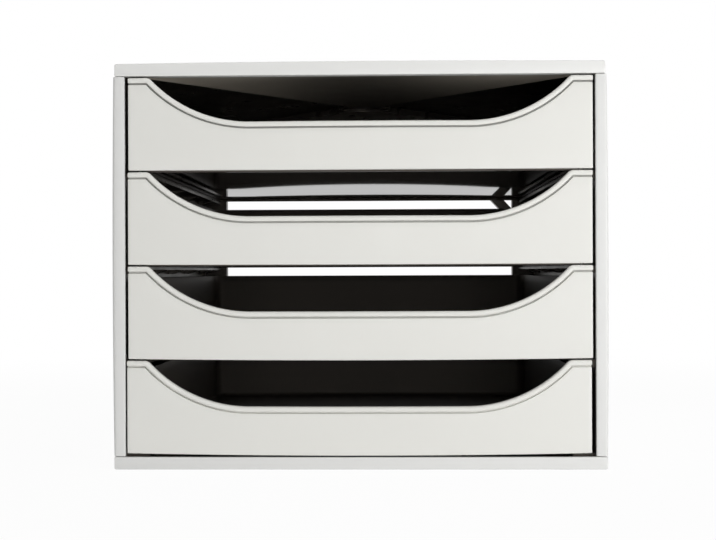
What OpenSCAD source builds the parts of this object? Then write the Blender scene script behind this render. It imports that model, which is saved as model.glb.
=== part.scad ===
// Desktop unit with four paper drawers: light grey casing and drawer fronts round a black
// inner frame with a grey roof, and black trays. Millimetres. The front faces -Y and the
// feet stand on z = 0.

/* [Casing] */
// Overall width over the swelling side panels
case_w = 284; // [276:1:320]
// Overall depth from the drawer lips to the back edges of the panels
case_d = 348; // [320:1:400]
// Height of the top panel's front band at its middle
top_band = 8; // [7.6:0.1:11]
// Height of the bottom panel's front band
bottom_band = 7.4; // [7:0.1:11]
// Width of a side panel's front band at mid height
side_band = 7.65; // [7.2:0.05:10]
// Thickness of the front bands from front to back
band_t = 2.5; // [1.5:0.1:4]
// Rise of the crowned top from its side edges to its middle
top_crown = 1; // [0.4:0.1:1.2]
// Swell of each side panel at mid height
side_crown = 0.75; // [0.2:0.05:1]
// Step from the ends of the side panels in to the top and bottom panels
side_step = 0.85; // [0.3:0.05:1]
// Thickness of the top panel
top_skin = 1.5; // [1.2:0.1:1.7]
// Thickness of the bottom panel
bottom_skin = 2.2; // [1.8:0.1:2.6]
// Thickness of the top and bottom panels' side skirts
skirt_t = 2; // [1.2:0.1:2.4]
// Thickness of the side panels at their ends
side_skin = 1.65; // [1.2:0.05:2]
// Rounding of the long edges and corners of the outer panels
edge_r = 2.4; // [1:0.1:3]
// Open seam between two outer panels
seam = 0.3; // [0.1:0.05:0.6]

/* [Drawer fronts] */
// Height of a drawer front at its ends
front_h = 53.1; // [48:0.1:70]
// Thickness of a drawer front
front_t = 2.5; // [2:0.1:4]
// Gap between two fronts at their ends
front_gap = 1; // [0.6:0.1:3]
// Gap between a front and the casing at each side
side_gap = 1.45; // [0.6:0.05:3]
// Gap over the top front
top_gap = 0.9; // [0.5:0.1:3]
// Gap under the ends of the lowest front
bottom_gap = 1.9; // [1.5:0.1:4]
// Downward bow of a front's lower edge at its middle
front_bow = 1; // [0.2:0.1:1.4]
// Depth of the front faces behind the tops of their lips
lip_proud = 1; // [0.4:0.1:1.4]
// Depth of the casing's front edge behind the tops of the lips
case_setback = 0.6; // [0:0.1:2]
// Height of the raised lip
lip_h = 3.5; // [3:0.1:4]
// Rounding of the lip's upper front edge
nose_r = 1.5; // [0.5:0.1:1.5]
// Rounding of the lip's upper back edge
heel_r = 0.6; // [0.3:0.1:1]
// Length of the flat floor of the finger cut-out
cut_flat = 125.3; // [60:0.1:132]
// Depth of the finger cut-out
cut_depth = 25.8; // [15:0.1:32]
// Radius of the two sides of the finger cut-out
cut_r = 78; // [60:1:80]
// Rounding where the cut-out meets the ears
ear_r = 4.5; // [4.2:0.1:7]
// Depth of the end flanges behind a front
flange_d = 3; // [1:0.1:4]
// Thickness of the end flanges
flange_t = 1.8; // [1:0.1:1.9]
// Length of the clip tongues along the tray
tongue_l = 14; // [8:1:30]
// Thickness of the clip tongues
tongue_t = 1.6; // [1:0.1:1.8]

/* [Trays] */
// Gap from the top of a tray's side to the runner wall
tray_side_gap = 6.8; // [6:0.1:9]
// How far a tray wall leans outwards over its height
tray_draft = 1.5; // [0.5:0.1:2]
// Height of a tray from the underside of its skirt
tray_h = 47.4; // [36:0.1:48]
// Depth of the skirt's underside below the ends of its front
tray_drop = 0.9; // [0.5:0.1:1.2]
// Thickness of the tray walls
tray_wall = 2; // [1.4:0.1:2.5]
// Thickness of the tray floor
tray_floor = 1.3; // [1:0.1:3]
// Height of the skirt below the tray floor
tray_skirt = 2.1; // [1:0.1:4]
// Rounding of the rear upright corners
tray_rear_r = 8; // [5:0.5:14]
// Rounding of the front upright corners
tray_front_r = 4; // [3:0.5:8]
// How far the rim stands out from the wall
rim_out = 0.6; // [0.3:0.1:1]
// Height of the rim
rim_h = 2.2; // [1:0.1:4]
// How far the tray's front wall stays below the lip
notch_inset = 1.2; // [0.8:0.1:3]

/* [Runners and stops] */
// Thickness of the runner walls
runner_t = 2; // [1.5:0.1:2.4]
// How far the runner walls hide behind the side bands
runner_hide = 0.45; // [0.2:0.05:1]
// Width of a ledge
ledge_reach = 12.8; // [11.5:0.1:15]
// Thickness of a ledge
ledge_t = 1.6; // [1.2:0.1:2]
// Distance from the casing's front edge back to the ledges
ledge_setback = 7; // [6.7:0.1:20]
// Gap between a ledge and the tray on it
slide_gap = 0.3; // [0.2:0.05:0.6]
// Gap between a guide rib and the tray's skirt
guide_gap = 1; // [0.5:0.1:1.4]
// Thickness of a guide rib
guide_t = 1.5; // [1:0.1:2]
// Height of a guide rib over its ledge
guide_h = 2.5; // [1:0.1:4]
// Height of the gussets under a ledge
gusset_h = 2.8; // [1.5:0.1:2.8]
// Length of a gusset from front to back
gusset_l = 12; // [3:1:20]
// Distance from one gusset to the next
gusset_pitch = 72; // [40:1:120]
// How far a drawer pulls out before its lugs meet the stops
travel = 250; // [150:1:270]
// Length of a stop and of a lug from front to back
stop_l = 8; // [4:1:12]
// Height of a lug
lug_h = 6; // [4:1:10]
// How far a lug stands out from the top of the tray's side
lug_out = 4.3; // [3.6:0.1:5]
// How far a stop reaches in from the runner wall
stop_in = 3.9; // [3:0.1:5]

/* [Top, base and back frame] */
// Thickness of the plate under the top
ceiling_t = 1; // [0.8:0.1:1.4]
// Height of the diagonal ribs under the top
ceiling_rib_h = 3.9; // [2:0.1:4]
// Thickness of the plate over the bottom
base_t = 1.2; // [1:0.1:1.4]
// Height of the diagonal ribs over the bottom
base_rib_h = 2.7; // [1:0.1:2.7]
// Thickness of the diagonal ribs
rib_t = 2.2; // [1.2:0.1:4]
// Outer radius of the round hubs
hub_r = 18; // [12:0.5:30]
// Depth of the back frame from front to back
back_depth = 9.5; // [6:0.1:14]
// How far the back frame lies inside the panels' back edges
back_inset = 0.5; // [0:0.1:3]
// Wall thickness of the back frame
back_wall = 2; // [1.4:0.1:2.5]
// Width of a post, measured inwards from the runner wall
post_w = 17.7; // [12:0.1:30]
// Height of the window's lower edge over the base plate's underside
sill_h = 10.8; // [8:0.1:20]
// Height of the back frame's top bar
head_h = 15.4; // [10:0.1:30]
// Distance between the small ribs in posts and bars
cell = 36; // [20:1:60]
// Width of the diagonal brace
brace_w = 7.6; // [5:0.1:12]
// Distance from the window's corner to the brace along the top bar
brace_run = 53.5; // [30:0.1:90]
// Distance from the window's corner to the brace down the post
brace_drop = 57.4; // [30:0.1:90]
// Distance between the small ribs in the brace
brace_cell = 9; // [6:0.5:20]
// Gap that is left when a tray meets the back frame
closing_gap = 0.4; // [0.2:0.1:1]

/* [Feet and fits] */
// Radius of a rubber foot
foot_r = 9; // [6:0.5:14]
// Thickness of a foot
foot_t = 1.8; // [1.2:0.1:2]
// How far a foot stands out of the bottom panel
foot_proud = 0.4; // [0.3:0.1:0.6]
// Distance from the centre of a foot to the side of the casing
foot_in_x = 27; // [18:1:60]
// Distance from the centre of a foot to the front or back of the casing
foot_in_y = 24; // [18:1:60]
// Gap between pieces that are fitted into each other
fit = 0.1; // [0.05:0.05:0.2]

/* [Hidden] */
$fn = 96;

LIGHT = [0.87, 0.87, 0.85];
BLACK = [0.11, 0.11, 0.10];
RUBBER = [0.22, 0.22, 0.22];
SHADE = [0.62, 0.58, 0.52];
drawers = 4;
eps = 0.01;
round_steps = 6;
crown_steps = 24;
cut_steps = 16;

// heights
pitch = front_h + front_gap;
opening_z0 = foot_proud + bottom_band;
opening_z1 = opening_z0 + bottom_gap + (drawers - 1) * pitch + front_h + top_gap;
case_h = opening_z1 + top_band;
mid_z = (opening_z0 + opening_z1) / 2;

// widths
opening_w = case_w - 2 * side_band;
front_w = opening_w - 2 * side_gap;
end_x = case_w / 2 - side_crown;
cap_x = end_x - side_step;
skirt_x = cap_x - skirt_t;
side_in_x = end_x - side_skin;
runner_x = opening_w / 2 + runner_hide;

// depths
lip_y = -case_d / 2;
face_y = lip_y + lip_proud;
case_y0 = lip_y + case_setback;
case_y1 = case_d / 2;
plate_y = face_y + front_t;
inner_y0 = case_y0 + band_t + fit;
back_y1 = case_y1 - back_inset;
back_y0 = back_y1 - back_depth;
inner_y1 = back_y0 - fit;
middle_y = (inner_y0 + inner_y1) / 2;

// inner frame
base_z0 = foot_proud + bottom_skin + fit;
base_z1 = base_z0 + base_t;
ceiling_z1 = case_h - top_crown - top_skin - fit;
ceiling_z0 = ceiling_z1 - ceiling_t;
plate_x = skirt_x - fit;
runner_z0 = base_z1 + fit;
runner_z1 = ceiling_z0 - fit;
ledge_x = runner_x - ledge_reach;
ledge_y = case_y0 + ledge_setback;
window_x = runner_x - post_w;
window_z0 = base_z0 + sill_h;
window_z1 = ceiling_z1 - head_h;

// trays
tray_x = runner_x - tray_side_gap;
tray_foot_x = tray_x - tray_draft;
tray_y0 = plate_y + fit;
tray_y1 = back_y0 - closing_gap - rim_out;
tray_z0 = -tray_drop;
tray_z1 = tray_z0 + tray_h;
floor_z0 = tray_z0 + tray_skirt;
floor_z1 = floor_z0 + tray_floor;
lug_y = tray_y1 - 15;
stop_y = lug_y - travel - slide_gap;
lug_z = tray_z1 - rim_h - lug_h;
guide_x = tray_foot_x + guide_gap;

// finger cut-out: flat floor, two sides of radius cut_r, and a small rounding to each ear
cut_c = [cut_flat / 2, front_h - cut_depth + cut_r];
ear_c = [
    cut_c[0] + sqrt(pow(cut_r + ear_r, 2) - pow(cut_c[1] - front_h + ear_r, 2)),
    front_h - ear_r
];
cut_sweep = 90 + atan2(ear_c[1] - cut_c[1], ear_c[0] - cut_c[0]);

function front_z(drawer) = opening_z0 + bottom_gap + (drawers - drawer) * pitch;
function ledge_z(drawer) = front_z(drawer) - tray_drop - slide_gap;
function lean(z) = tray_draft * (z - tray_z0) / tray_h;
function arc(c, r, a0, a1, n) = [
    for (i = [0 : n]) let (a = a0 + (a1 - a0) * i / n) [c[0] + r * cos(a), c[1] + r * sin(a)]
];
function mirrored(points) = [for (i = [len(points) - 1 : -1 : 0]) [-points[i][0], points[i][1]]];

// a shallow arch from +half to -half, standing rise over its two ends at height z
function arch(half, z, rise) = [
    for (i = [0 : crown_steps]) let (t = 1 - 2 * i / crown_steps) [t * half, z + rise * (1 - t * t)]
];

// plan outline with rounded corners, counterclockwise
function plan_ring(half, y0, y1, r0, r1) = concat(
    arc([half - r1, y1 - r1], r1, 0, 90, round_steps),
    arc([r1 - half, y1 - r1], r1, 90, 180, round_steps),
    arc([r0 - half, y0 + r0], r0, 180, 270, round_steps),
    arc([half - r0, y0 + r0], r0, 270, 360, round_steps)
);

// outline of a tray wall at height z, grown by extra
function tray_ring(z, extra) = plan_ring(
    tray_foot_x + lean(z) + extra,
    tray_y0 - lean(z) - extra,
    tray_y1 - tray_draft + lean(z) + extra,
    tray_front_r + lean(z) + extra,
    tray_rear_r + lean(z) + extra
);

// right half of a front's upper edge, from its end to the cut-out's floor, lowered by inset
function half_edge(inset) = concat(
    [[front_w / 2, front_h - inset]],
    arc(ear_c, ear_r - inset, 90, 90 + cut_sweep * (1 - 1 / round_steps), round_steps - 1),
    arc(cut_c, cut_r + inset, cut_sweep - 90, -90, cut_steps)
);

// the whole upper edge from right to left
function upper_edge(inset) = concat(half_edge(inset), mirrored(half_edge(inset)));

// section of the lip: first value down from its top, second value forward from the plate's back
lip_z = front_t + lip_proud;
lip_section = concat(
    arc([heel_r, heel_r], heel_r, 270, 180, 2),
    arc([nose_r, lip_z - nose_r], nose_r, 180, 90, 4),
    arc([lip_h - lip_proud, lip_z - lip_proud], lip_proud, 90, 0, 3),
    [[lip_h, 0]]
);

module block(x, y, z) {
    translate([x[0], y[0], z[0]])
        cube([x[1] - x[0], y[1] - y[0], z[1] - z[0]]);
}

module both_sides() {
    children();
    mirror([1, 0, 0])
        children();
}

// a shape drawn in the front view (x, z) and carried from y0 back to y1
module carry_y(y0, y1) {
    translate([0, y1, 0])
        rotate([90, 0, 0])
            linear_extrude(y1 - y0)
                children();
}

// straight-sided solid between two outlines of equal count
module loft(low, z0, high, z1) {
    n = len(low);
    polyhedron(
        points = concat([for (p = low) [p[0], p[1], z0]], [for (p = high) [p[0], p[1], z1]]),
        faces = concat(
            [[for (i = [0 : n - 1]) i]],
            [[for (i = [n - 1 : -1 : 0]) n + i]],
            [for (i = [0 : n - 1]) let (j = (i + 1) % n) [i, n + i, n + j, j]]
        )
    );
}

// upright prism that rounds the corners of the top and bottom panels
module cap_plan() {
    translate([0, 0, -eps])
        linear_extrude(case_h + 1)
            polygon(plan_ring(cap_x, case_y0, case_y1, edge_r, edge_r));
}

module top_panel() {
    end_z = case_h - top_crown;
    low_z = opening_z1 + seam / 2;
    crown_x = cap_x - edge_r;
    color(LIGHT)
        intersection() {
            difference() {
                carry_y(case_y0, case_y1)
                    polygon(concat(
                        [[cap_x, low_z]],
                        arc([crown_x, end_z - edge_r], edge_r, 0, 90, round_steps),
                        arch(crown_x, end_z, top_crown),
                        arc([-crown_x, end_z - edge_r], edge_r, 90, 180, round_steps),
                        [[-cap_x, low_z]]
                    ));
                carry_y(case_y0 + band_t, case_y1 + 1)
                    polygon(concat(
                        [[skirt_x, low_z - 1]],
                        arch(skirt_x, end_z - top_skin, top_crown),
                        [[-skirt_x, low_z - 1]]
                    ));
            }
            cap_plan();
        }
}

module bottom_panel() {
    crown_x = cap_x - edge_r;
    foot_x = case_w / 2 - foot_in_x;
    high_z = opening_z0 - seam / 2;
    color(LIGHT)
        intersection() {
            difference() {
                carry_y(case_y0, case_y1)
                    polygon(concat(
                        [[-cap_x, high_z]],
                        arc([-crown_x, foot_proud + edge_r], edge_r, 180, 270, round_steps),
                        arc([crown_x, foot_proud + edge_r], edge_r, 270, 360, round_steps),
                        [[cap_x, high_z]]
                    ));
                block(
                    [-skirt_x, skirt_x],
                    [case_y0 + band_t, case_y1 + 1],
                    [foot_proud + bottom_skin, opening_z0 + 1]
                );
                for (x = [-foot_x, foot_x], y = [foot_y(0), foot_y(1)])
                    translate([x, y, foot_proud - 1])
                        cylinder(r = foot_r + fit, h = foot_t - foot_proud + 1);
            }
            cap_plan();
        }
}

function foot_y(rear) = rear ? case_y1 - foot_in_y : case_y0 + foot_in_y;

module foot(side, rear) {
    color(RUBBER)
        translate([side * (case_w / 2 - foot_in_x), foot_y(rear), 0])
            cylinder(r = foot_r, h = foot_t);
}

module right_side_panel() {
    z0 = opening_z0 + seam / 2;
    z1 = opening_z1 - seam / 2;
    half = (z1 - z0) / 2;
    outer_x = case_w / 2;
    color(LIGHT)
        intersection() {
            // swelling outline in the front view
            carry_y(case_y0, case_y1)
                polygon(concat(
                    [for (p = arch(half, end_x, side_crown)) [p[1], mid_z + p[0]]],
                    [[opening_w / 2 - 1, z0], [opening_w / 2 - 1, z1]]
                ));
            // thin side with its front band in the plan view
            translate([0, 0, z0 - 1])
                linear_extrude(z1 - z0 + 2)
                    polygon(concat(
                        [[opening_w / 2, case_y0 + band_t], [opening_w / 2, case_y0]],
                        arc([outer_x - edge_r, case_y0 + edge_r], edge_r, 270, 360, round_steps),
                        [
                            [outer_x, case_y1],
                            [side_in_x, case_y1],
                            [side_in_x, case_y0 + band_t]
                        ]
                    ));
        }
}

module left_side_panel() {
    mirror([1, 0, 0])
        right_side_panel();
}

// flat plate with diagonal ribs that meet in a round hub; the ribs stand up from z = 0
module ribbed_plate(plate_t, rib_h, rib_x) {
    reach_y = (inner_y1 - inner_y0) / 2;
    translate([0, middle_y, 0]) {
        block([-plate_x, plate_x], [-reach_y, reach_y], [-plate_t, 0]);
        difference() {
            union() {
                intersection() {
                    for (turn = [-1, 1])
                        rotate([0, 0, turn * atan2(reach_y, runner_x)])
                            block([-case_d, case_d], [-rib_t / 2, rib_t / 2], [-plate_t / 2, rib_h]);
                    block([-rib_x, rib_x], [-reach_y, reach_y], [-plate_t, rib_h + 1]);
                }
                translate([0, 0, -plate_t / 2])
                    cylinder(r = hub_r, h = rib_h + plate_t / 2);
            }
            translate([0, 0, rib_h / 2])
                cylinder(r = hub_r - rib_t, h = rib_h);
        }
    }
}

module ceiling_plate() {
    color(SHADE)
        translate([0, 0, ceiling_z0])
            mirror([0, 0, 1])
                ribbed_plate(ceiling_t, ceiling_rib_h, runner_x - fit);
}

module base_plate() {
    color(BLACK)
        translate([0, 0, base_z1])
            ribbed_plate(base_t, base_rib_h, ledge_x - 1);
}

// one ledge with its guide rib, its gussets and the stop over it
module ledge() {
    root_x = runner_x + runner_t / 2;
    gussets = floor((inner_y1 - ledge_y - gusset_l) / gusset_pitch);
    block([ledge_x, root_x], [ledge_y, inner_y1], [-ledge_t, 0]);
    block([guide_x, guide_x + guide_t], [ledge_y, inner_y1], [-ledge_t / 2, guide_h]);
    for (i = [0 : gussets])
        carry_y(ledge_y + i * gusset_pitch, ledge_y + i * gusset_pitch + gusset_l)
            polygon([
                [root_x, -ledge_t / 2],
                [ledge_x + 2, -ledge_t / 2],
                [ledge_x + 2, -ledge_t],
                [runner_x - 3, -ledge_t - gusset_h],
                [root_x, -ledge_t - gusset_h]
            ]);
    translate([0, 0, tray_drop + slide_gap])
        block([runner_x - stop_in, root_x], [stop_y - stop_l, stop_y], [lug_z - 1, lug_z + lug_h + 1]);
}

module right_runner_frame() {
    out_x = side_in_x - fit;
    z0 = opening_z0 + seam;
    z1 = opening_z1 - seam;
    color(BLACK)
        union() {
            block([runner_x, runner_x + runner_t], [inner_y0, inner_y1], [runner_z0, runner_z1]);
            // flanges that meet the side panel
            difference() {
                block([runner_x + runner_t / 2, out_x], [inner_y0, inner_y1], [z0, z1]);
                for (drawer = [1 : drawers])
                    block(
                        [runner_x, out_x + 1],
                        [inner_y0 + runner_t, inner_y1 - runner_t],
                        [
                            drawer == drawers ? z0 + runner_t : ledge_z(drawer),
                            drawer == 1 ? z1 - runner_t : ledge_z(drawer - 1) - runner_t
                        ]
                    );
            }
            for (drawer = [1 : drawers])
                translate([0, 0, ledge_z(drawer)])
                    ledge();
        }
}

module left_runner_frame() {
    mirror([1, 0, 0])
        right_runner_frame();
}

module box_2d(x, z) {
    translate([x[0], z[0]])
        square([x[1] - x[0], z[1] - z[0]]);
}

// diagonal bar across the window's upper right corner, ends in the post and the top bar
module brace_2d(width) {
    length = sqrt(pow(brace_run, 2) + pow(brace_drop, 2));
    translate([window_x - brace_run / 2, window_z1 - brace_drop / 2])
        rotate([0, 0, -atan2(brace_drop, brace_run)])
            square([length + brace_w, width], center = true);
}

// posts and bars, grown inwards at their outer edges by edge
module frame_2d(edge) {
    difference() {
        union() {
            box_2d([edge - plate_x, plate_x - edge], [base_z0 + edge, ceiling_z1 - edge]);
            box_2d(
                [edge - side_in_x + fit, side_in_x - fit - edge],
                [opening_z0 + seam + edge, opening_z1 - seam - edge]
            );
        }
        box_2d([-window_x - edge, window_x + edge], [window_z0 - edge, window_z1 + edge]);
    }
}

module back_frame() {
    length = sqrt(pow(brace_run, 2) + pow(brace_drop, 2));
    cells_z = floor((window_z1 - window_z0) / 2 / cell);
    cells_x = floor(window_x / cell);
    cells_b = floor(length / 2 / brace_cell);
    rib_depth = back_y1 - back_wall;
    color(BLACK)
        union() {
            difference() {
                carry_y(back_y0, back_y1)
                    union() {
                        frame_2d(0);
                        brace_2d(brace_w);
                    }
                carry_y(back_y0 + back_wall, back_y1 + 1)
                    frame_2d(back_wall);
                carry_y(back_y0 + back_wall, back_y1 + 1)
                    brace_2d(brace_w - 2 * back_wall);
            }
            // ribs across posts, bars and brace
            both_sides()
                for (i = [-cells_z : cells_z])
                    block(
                        [window_x + back_wall / 2, plate_x - back_wall / 2],
                        [back_y0 + back_wall / 2, rib_depth],
                        [mid_z + i * cell - 0.7, mid_z + i * cell + 0.7]
                    );
            for (i = [-cells_x : cells_x], z = [0, 1])
                block(
                    [i * cell - 0.7, i * cell + 0.7],
                    [back_y0 + back_wall / 2, rib_depth],
                    z == 0
                        ? [base_z0 + back_wall / 2, window_z0 - back_wall / 2]
                        : [window_z1 + back_wall / 2, ceiling_z1 - back_wall / 2]
                );
            translate([window_x - brace_run / 2, 0, window_z1 - brace_drop / 2])
                rotate([0, atan2(brace_drop, brace_run), 0])
                    for (i = [-cells_b : cells_b])
                        block(
                            [i * brace_cell - 0.6, i * brace_cell + 0.6],
                            [back_y0 + back_wall / 2, rib_depth],
                            [back_wall / 2 - brace_w / 2, brace_w / 2 - back_wall / 2]
                        );
        }
}

module tray(drawer) {
    deep_z = tray_z1 + 1;
    color(BLACK)
        translate([0, 0, front_z(drawer)])
            difference() {
                union() {
                    loft(tray_ring(tray_z0, 0), tray_z0, tray_ring(tray_z1, 0), tray_z1);
                    translate([0, 0, tray_z1 - rim_h])
                        linear_extrude(rim_h)
                            polygon(tray_ring(tray_z1, rim_out));
                    both_sides()
                        block([tray_x - tray_wall / 2, tray_x + lug_out], [lug_y, lug_y + stop_l],
                              [lug_z, lug_z + lug_h]);
                }
                loft(tray_ring(floor_z1, -tray_wall), floor_z1, tray_ring(deep_z, -tray_wall), deep_z);
                // hollow inside the skirt, behind the front wall
                translate([0, 0, tray_z0 - 1])
                    linear_extrude(tray_skirt + 1)
                        polygon(plan_ring(
                            tray_foot_x - tray_wall,
                            tray_y0 + tray_wall,
                            tray_y1 - tray_draft - tray_wall,
                            tray_front_r - tray_wall,
                            tray_rear_r - tray_wall
                        ));
                // flat front wall behind the drawer front
                block([-case_w, case_w], [tray_y0 - 20, tray_y0], [tray_z0 - 1, tray_z1 + 1]);
                // finger cut-out
                carry_y(tray_y0 - 1, tray_y0 + tray_wall + tray_draft + 1)
                    polygon(concat(
                        upper_edge(notch_inset),
                        [[-front_w / 2, 2 * front_h], [front_w / 2, 2 * front_h]]
                    ));
            }
}

// closed section of the lip, carried along the upper edge from right to left
module lip() {
    edges = [for (p = lip_section) upper_edge(p[0])];
    count = len(edges[0]);
    ring = len(lip_section);
    polyhedron(
        points = [
            for (i = [0 : count - 1], j = [0 : ring - 1])
                [edges[j][i][0], edges[j][i][1], lip_section[j][1]]
        ],
        faces = concat(
            [[for (j = [ring - 1 : -1 : 0]) j]],
            [[for (j = [0 : ring - 1]) (count - 1) * ring + j]],
            [
                for (i = [0 : count - 2], j = [0 : ring - 1])
                    let (k = (j + 1) % ring)
                        [i * ring + j, i * ring + k, (i + 1) * ring + k, (i + 1) * ring + j]
            ]
        )
    );
}

module front(drawer) {
    flange_x = front_w / 2 - fit;
    tongue_x = tray_x + rim_out + 3.5 * fit;
    bow = arch(front_w / 2, 0, -front_bow);
    color(LIGHT)
        translate([0, plate_y, front_z(drawer)])
            rotate([90, 0, 0]) {
                lip();
                linear_extrude(front_t)
                    polygon(concat(
                        upper_edge(lip_h / 2),
                        [for (i = [crown_steps : -1 : 0]) bow[i]]
                    ));
                both_sides() {
                    // end flange and clip tongue that grips the tray's side
                    block([flange_x - flange_t, flange_x], [1, front_h - 4], [-flange_d, front_t / 2]);
                    block([tongue_x, tongue_x + tongue_t], [8, 40], [-tongue_l, front_t / 2]);
                }
            }
}

top_panel();
bottom_panel();
left_side_panel();
right_side_panel();
ceiling_plate();
base_plate();
left_runner_frame();
right_runner_frame();
back_frame();
foot(-1, false);  // front_left_foot
foot(1, false);  // front_right_foot
foot(-1, true);  // rear_left_foot
foot(1, true);  // rear_right_foot
tray(1);  // drawer_1_tray
front(1);  // drawer_1_front
tray(2);  // drawer_2_tray
front(2);  // drawer_2_front
tray(3);  // drawer_3_tray
front(3);  // drawer_3_front
tray(4);  // drawer_4_tray
front(4);  // drawer_4_front
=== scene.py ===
# %% [markdown]
# # A desktop unit with four paper drawers
# The real object is a light grey plastic casing round a black inner frame, with four
# black trays that slide on ledges. Each tray has a light grey front with a wide finger
# cut-out and a raised lip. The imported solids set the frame, and most sizes here repeat
# the part's source. This file adds the soft edges, the lips, the fillets and the
# plastics that make it look real.

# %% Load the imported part
import math

import bmesh
import bpy
import numpy as np
from mathutils import Matrix, Vector


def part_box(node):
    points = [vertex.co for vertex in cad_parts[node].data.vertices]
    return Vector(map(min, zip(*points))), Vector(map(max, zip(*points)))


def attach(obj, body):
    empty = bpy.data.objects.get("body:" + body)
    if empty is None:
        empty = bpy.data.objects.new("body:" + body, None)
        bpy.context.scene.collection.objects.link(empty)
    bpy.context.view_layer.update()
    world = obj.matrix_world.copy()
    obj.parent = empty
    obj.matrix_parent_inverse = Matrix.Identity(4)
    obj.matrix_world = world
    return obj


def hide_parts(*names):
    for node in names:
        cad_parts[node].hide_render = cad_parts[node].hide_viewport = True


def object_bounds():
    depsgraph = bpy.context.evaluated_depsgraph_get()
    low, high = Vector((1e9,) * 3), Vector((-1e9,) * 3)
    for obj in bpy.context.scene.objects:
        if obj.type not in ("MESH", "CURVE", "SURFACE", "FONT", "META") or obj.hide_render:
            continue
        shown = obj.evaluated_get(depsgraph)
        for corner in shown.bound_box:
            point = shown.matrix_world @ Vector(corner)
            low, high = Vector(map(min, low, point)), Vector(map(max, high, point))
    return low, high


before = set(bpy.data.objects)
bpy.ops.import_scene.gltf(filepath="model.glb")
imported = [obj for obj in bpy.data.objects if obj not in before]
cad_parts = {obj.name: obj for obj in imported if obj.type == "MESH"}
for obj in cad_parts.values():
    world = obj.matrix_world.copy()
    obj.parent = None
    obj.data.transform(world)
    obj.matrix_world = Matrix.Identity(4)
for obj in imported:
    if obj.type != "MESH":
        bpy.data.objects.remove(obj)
cad_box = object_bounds()
MM = 0.001
DRAWERS = (1, 2, 3, 4)
size = [round(v / MM, 1) for v in cad_box[1] - cad_box[0]]
print("solids:", len(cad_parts), "box in mm:", size)

# %% [markdown]
# ## Camera
# The photograph was taken square-on from about a metre away, a little right of the
# middle and at mid height. Eight corners of the object were matched by least squares,
# which gave the lens and the small turn of the camera.

# %% Camera
EYE = (18.38, -948.0, 113.85)
TURN_LEFT, TILT_UP, ROLL = 1.42, 0.046, -0.21
LENS = 68.18

camera_data = bpy.data.cameras.new("camera")
camera_data.lens = LENS
camera_data.sensor_width = 36.0
camera_data.clip_start, camera_data.clip_end = 0.01, 50.0
camera = bpy.data.objects.new("camera", camera_data)
camera.rotation_mode = "QUATERNION"
camera.location = [v * MM for v in EYE]
turn = Matrix.Rotation(math.radians(TURN_LEFT), 4, "Z")
tilt = Matrix.Rotation(math.radians(90 + TILT_UP), 4, "X")
roll = Matrix.Rotation(math.radians(ROLL), 4, "Z")
camera.rotation_quaternion = (turn @ tilt @ roll).to_quaternion()
bpy.context.scene.collection.objects.link(camera)
bpy.context.scene.camera = camera

# %% [markdown]
# ## Helpers for surfaces
# The top, the bottom, the clips and the lugs are closed outlines carried along y, and one
# helper draws them: it rounds both ends by drawing the outline in along its own normals.
# The other pieces are rings of points joined by quads.


# %% Arcs, outlines and grids
def arc(centre, radius, start, end, count):
    """Points on a circle: centre plus radius times cosine and sine of the angles."""
    a = np.radians(np.linspace(start, end, count))
    return np.stack([centre[0] + radius * np.cos(a), centre[1] + radius * np.sin(a)], 1)


def outline_normals(points):
    """Outward normals of a counterclockwise outline: the mean direction of its two
    neighbouring edges, turned a quarter to the right."""
    before = points - np.roll(points, 1, 0)
    after = np.roll(points, -1, 0) - points
    before /= np.linalg.norm(before, axis=1)[:, None]
    after /= np.linalg.norm(after, axis=1)[:, None]
    along = before + after
    along /= np.linalg.norm(along, axis=1)[:, None]
    return np.stack([along[:, 1], -along[:, 0]], 1)


def rounded_box_outline(low, high, radius, steps=4):
    """Counterclockwise rectangle with quarter circles at its corners."""
    x0, y0 = low[0] + radius, low[1] + radius
    x1, y1 = high[0] - radius, high[1] - radius
    corners = [((x1, y0), -90), ((x1, y1), 0), ((x0, y1), 90), ((x0, y0), 180)]
    return np.concatenate([arc(c, radius, a, a + 90, steps) for c, a in corners])


def end_stations(start, end, radius, steps=5, middle=1):
    """Places along a line and how far the outline is drawn in there: near an end, at
    distance radius * (1 - cos t) from it, the outline is smaller by radius * (1 - sin t).
    The part between the rounded ends is cut into as many lengths as middle says."""
    t = np.linspace(0, math.pi / 2, steps)
    gone, inset = radius * (1 - np.cos(t)), radius * (1 - np.sin(t))
    inner = np.linspace(start + radius, end - radius, middle + 1)[1:-1]
    places = np.concatenate([start + gone, inner, (end - gone)[::-1]])
    insets = np.concatenate([inset, np.zeros(len(inner)), inset[::-1]])
    return places, insets


def grid_faces(rings, count):
    """Quads between neighbouring closed rings of a grid of points, ring by ring."""
    i = np.arange(rings - 1)[:, None]
    j = np.arange(count)[None, :]
    k = (j + 1) % count
    quads = np.stack([i * count + j, i * count + k, (i + 1) * count + k, (i + 1) * count + j], -1)
    return quads.reshape(-1, 4)


class Shell:
    """Collects points in millimetres and faces for one piece."""

    def __init__(self):
        self.points, self.faces, self.count = [], [], 0

    def add(self, points, faces):
        """Adds points and the faces that join them."""
        flat = np.asarray(points, float).reshape(-1, 3)
        self.points.append(flat)
        self.faces += [[int(v) + self.count for v in f] for f in faces]
        self.count += len(flat)

    def add_rings(self, rings):
        """Closed rings joined by quads, with a flat cap at each end."""
        rings = np.asarray(rings, float)
        n, m = rings.shape[:2]
        faces = grid_faces(n, m).tolist()
        faces += [list(range(m))[::-1], list(range((n - 1) * m, n * m))]
        self.add(rings, faces)

    def mirror_x(self):
        """Adds the mirror image of everything so far, with its faces turned round."""
        points = np.concatenate(self.points) * [-1, 1, 1]
        self.add(points, [f[::-1] for f in list(self.faces)])

    def move(self, step):
        """Moves everything so far by a step."""
        self.points = [p + step for p in self.points]


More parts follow.
